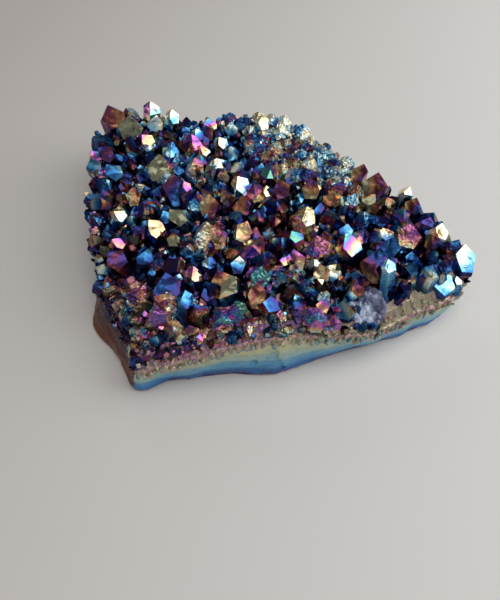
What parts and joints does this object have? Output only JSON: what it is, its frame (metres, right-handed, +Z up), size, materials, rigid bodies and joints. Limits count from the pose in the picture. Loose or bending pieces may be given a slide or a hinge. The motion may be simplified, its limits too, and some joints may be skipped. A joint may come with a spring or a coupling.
{
  "type": "titanium aura druzy cluster",
  "caption": "Broken slab of banded chalcedony with a close crust of short pointed quartz crystals grown on its top, all under an iridescent metal coating; lies on its flat underside.",
  "frame": {"origin": "under the middle of the cluster's bounding box, on the plane it rests on", "axes": "+Z up, the way the crystals point; -Y towards the long banded cut face at the front; +X along the slab's width, towards its narrow tip"},
  "size_m": [0.0946, 0.0804, 0.0206],
  "materials": {
    "aura_coating": "iridescent metallic coating on quartz, glossy on crystal faces and satin on the broken edge"
  },
  "bodies": {
    "root": {"druzy_cluster": "aura_coating"}
  },
  "joints": []
}
